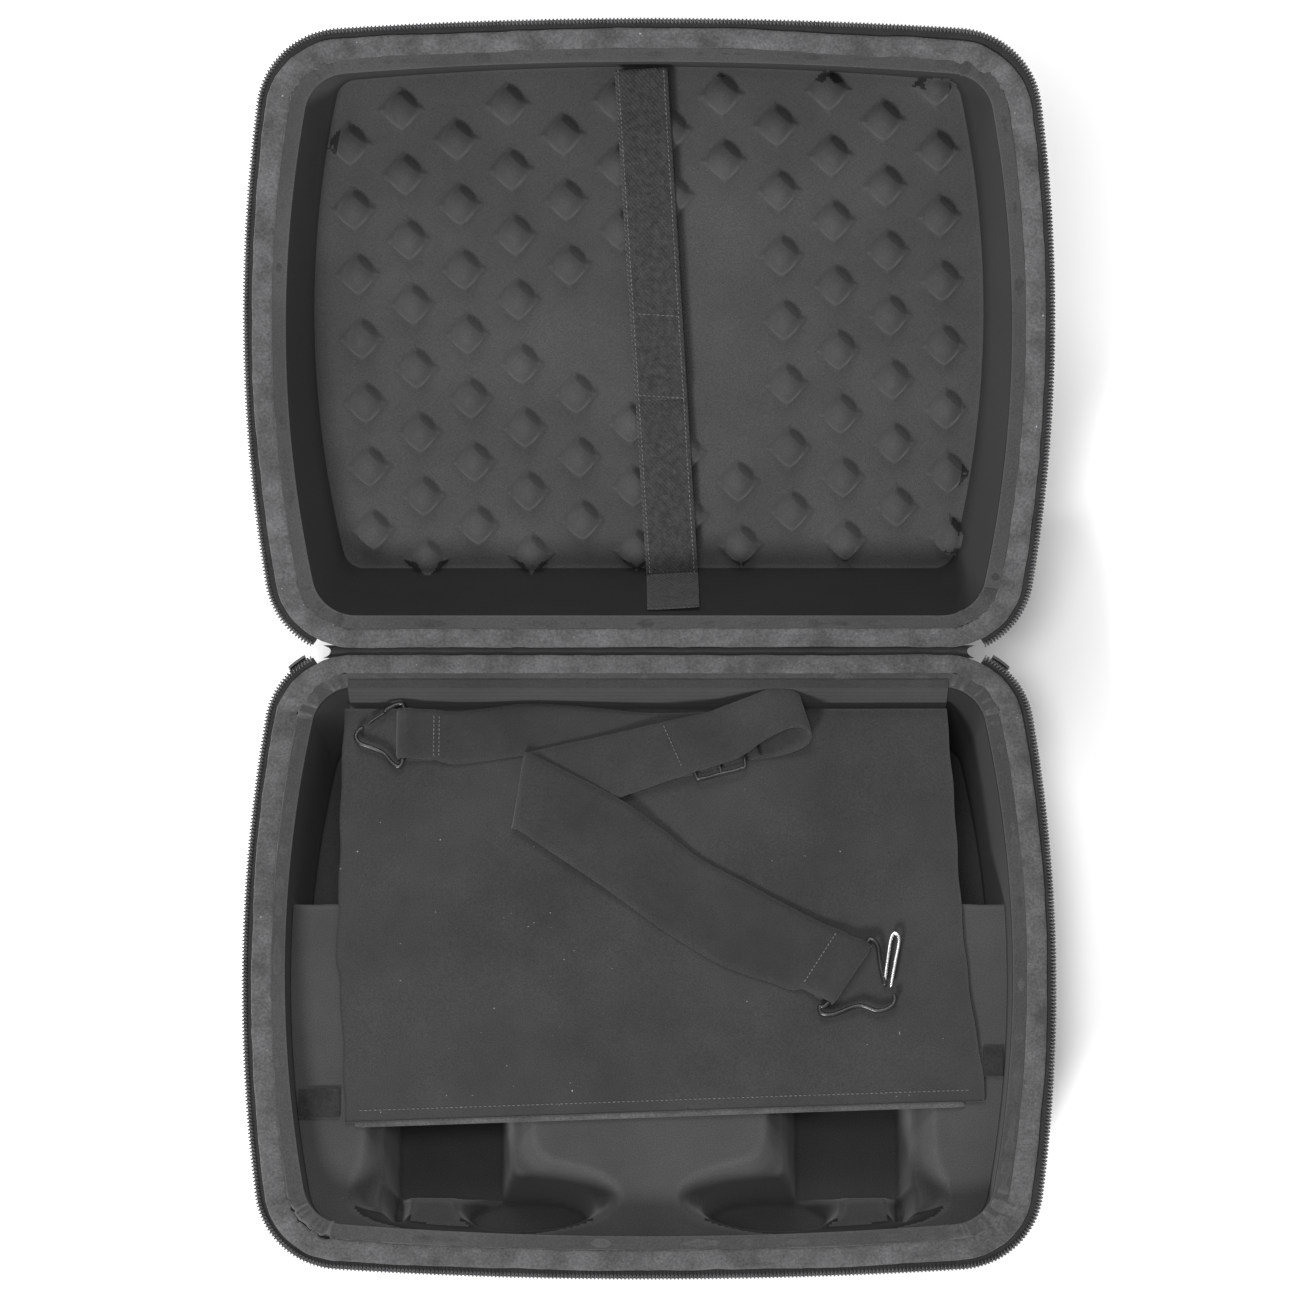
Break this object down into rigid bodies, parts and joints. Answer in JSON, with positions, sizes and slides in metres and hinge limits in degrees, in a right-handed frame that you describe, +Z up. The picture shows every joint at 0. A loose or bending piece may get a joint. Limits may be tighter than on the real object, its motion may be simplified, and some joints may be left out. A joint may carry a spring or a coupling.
{
  "type": "game console carrying case",
  "caption": "Soft-sided hinged carrying case with a studded lid liner, stepped tray with controller pockets, divider flap, carry handle and clip-on shoulder strap.",
  "frame": {"origin": "on the floor under the middle of the base", "axes": "+Z up, -Y to the case's front, +X to the right as seen from the front; the lid lies open towards +Y"},
  "size_m": [0.445, 0.6572, 0.2897],
  "materials": {
    "shell_cloth": "woven polyester laminated to foam",
    "liner_foam": "brushed cloth over moulded foam",
    "binding_tape": "soft knitted binding tape",
    "zip_tape": "woven zip tape",
    "zip_coil": "nylon coil",
    "spine_cloth": "folded cloth",
    "flap_cloth": "fine brushed cloth",
    "hem_cloth": "rolled hem",
    "strap_webbing": "ribbed webbing",
    "elastic_webbing": "twill elastic webbing",
    "hook_loop": "hook-and-loop tape",
    "black_wire": "black coated steel wire",
    "bright_wire": "bright nickel wire",
    "zip_metal": "black coated zinc",
    "ring_metal": "black coated steel",
    "moulded_plastic": "fine grain",
    "moulded_rubber": "satin"
  },
  "bodies": {
    "base": {"base_shell": "shell_cloth", "base_liner": "liner_foam", "base_binding": "binding_tape", "base_zip_tape": "zip_tape", "base_zip_coil": "zip_coil", "hinge_spine": "spine_cloth", "flap_anchor": "flap_cloth", "handle_brackets": "moulded_plastic", "ring_tab_left": "strap_webbing", "ring_tab_right": "strap_webbing"},
    "lid": {"lid_shell": "shell_cloth", "lid_liner": "liner_foam", "lid_binding": "binding_tape", "lid_zip_tape": "zip_tape", "lid_zip_coil": "zip_coil"},
    "flap": {"flap_panel": "flap_cloth", "flap_hem": "hem_cloth"},
    "strap": {"strap_webbing": "strap_webbing", "hook_frame_left": "black_wire", "hook_frame_right": "black_wire"},
    "strap_slider": {"strap_slider": "black_wire"},
    "gate_left": {"hook_gate_left": "bright_wire"},
    "gate_right": {"hook_gate_right": "bright_wire"},
    "zip_slider_left": {"zip_slider_left": "zip_metal"},
    "zip_slider_right": {"zip_slider_right": "zip_metal"},
    "pull_tab_left": {"pull_tab_left": "moulded_rubber"},
    "pull_tab_right": {"pull_tab_right": "moulded_rubber"},
    "upper_strap": {"lid_strap_upper": "elastic_webbing", "hook_patch": "hook_loop"},
    "lower_strap": {"lid_strap_lower": "elastic_webbing"},
    "tab_left": {"tab_left": "hook_loop"},
    "tab_right": {"tab_right": "hook_loop"},
    "ring_left": {"strap_ring_left": "ring_metal"},
    "ring_right": {"strap_ring_right": "ring_metal"},
    "handle": {"carry_handle": "moulded_rubber"}
  },
  "joints": [
    {"name": "lid_hinge", "type": "hinge", "parent": "base", "child": "lid", "pos_m": [0, 0.176, 0.092], "axis": [-1, 0, 0], "range_deg": [-146, 34], "deforming": ["hinge_spine"]},
    {"name": "flap_fold", "type": "hinge", "parent": "base", "child": "flap", "pos_m": [0, 0.149, 0.074], "axis": [-1, 0, 0], "range_deg": [0, 95]},
    {"name": "strap_lift", "type": "slide", "parent": "base", "child": "strap", "axis": [0, 0, 1], "range_m": [0, 0.376]},
    {"name": "slider_travel", "type": "slide", "parent": "strap", "child": "strap_slider", "axis": [-0.9659, -0.2588, 0], "range_m": [0, 0.012]},
    {"name": "gate_left_pivot", "type": "hinge", "parent": "strap", "child": "gate_left", "pos_m": [-0.1462, 0.1466, 0.0788], "axis": [0, 0, 1], "range_deg": [0, 20], "stiffness_Nm_per_rad": 0.02},
    {"name": "gate_right_pivot", "type": "hinge", "parent": "strap", "child": "gate_right", "pos_m": [0.1305, -0.011, 0.0788], "axis": [0, 0, 1], "range_deg": [0, 10]},
    {"name": "zip_run_left", "type": "hinge", "parent": "base", "child": "zip_slider_left", "pos_m": [-0.1654, 0.1316, 0.088], "axis": [0, 0, 1], "range_deg": [0, 36]},
    {"name": "zip_run_right", "type": "hinge", "parent": "base", "child": "zip_slider_right", "pos_m": [0.1654, 0.1316, 0.088], "axis": [0, 0, -1], "range_deg": [0, 36]},
    {"name": "pull_left_swing", "type": "hinge", "parent": "zip_slider_left", "child": "pull_tab_left", "pos_m": [-0.1935, 0.1676, 0.0848], "axis": [-0.6157, 0.788, 0], "range_deg": [0, 80]},
    {"name": "pull_right_swing", "type": "hinge", "parent": "zip_slider_right", "child": "pull_tab_right", "pos_m": [0.1935, 0.1676, 0.0848], "axis": [-0.6157, -0.788, 0], "range_deg": [0, 80]},
    {"name": "upper_strap_lift", "type": "hinge", "parent": "lid", "child": "upper_strap", "pos_m": [-0.00445, 0.4659, 0.232], "axis": [-0.9981, -0.0506, -0.0341], "range_deg": [0, 60]},
    {"name": "lower_strap_lift", "type": "hinge", "parent": "lid", "child": "lower_strap", "pos_m": [0.01308, 0.2294, 0.0694], "axis": [0.9981, 0.0506, 0.0341], "range_deg": [0, 36]},
    {"name": "tab_left_peel", "type": "hinge", "parent": "base", "child": "tab_left", "pos_m": [-0.1908, -0.077, 0.0739], "axis": [0, -1, 0], "range_deg": [0, 85]},
    {"name": "tab_right_peel", "type": "hinge", "parent": "base", "child": "tab_right", "pos_m": [0.1932, -0.054, 0.0739], "axis": [0, 1, 0], "range_deg": [0, 85]},
    {"name": "ring_left_swing", "type": "hinge", "parent": "base", "child": "ring_left", "pos_m": [-0.208, 0, 0.052], "axis": [0, 1, 0], "range_deg": [0, 120]},
    {"name": "ring_right_swing", "type": "hinge", "parent": "base", "child": "ring_right", "pos_m": [0.208, 0, 0.052], "axis": [0, -1, 0], "range_deg": [0, 120]},
    {"name": "handle_swing", "type": "hinge", "parent": "base", "child": "handle", "pos_m": [0, -0.163, 0.064], "axis": [-1, 0, 0], "range_deg": [0, 90]}
  ],
  "couplings": [
    {"joint": "lower_strap_lift", "follows": "upper_strap_lift", "ratio": 0.6},
    {"joint": "flap_fold", "follows": "strap_lift", "rad_per_m": 4.4}
  ]
}
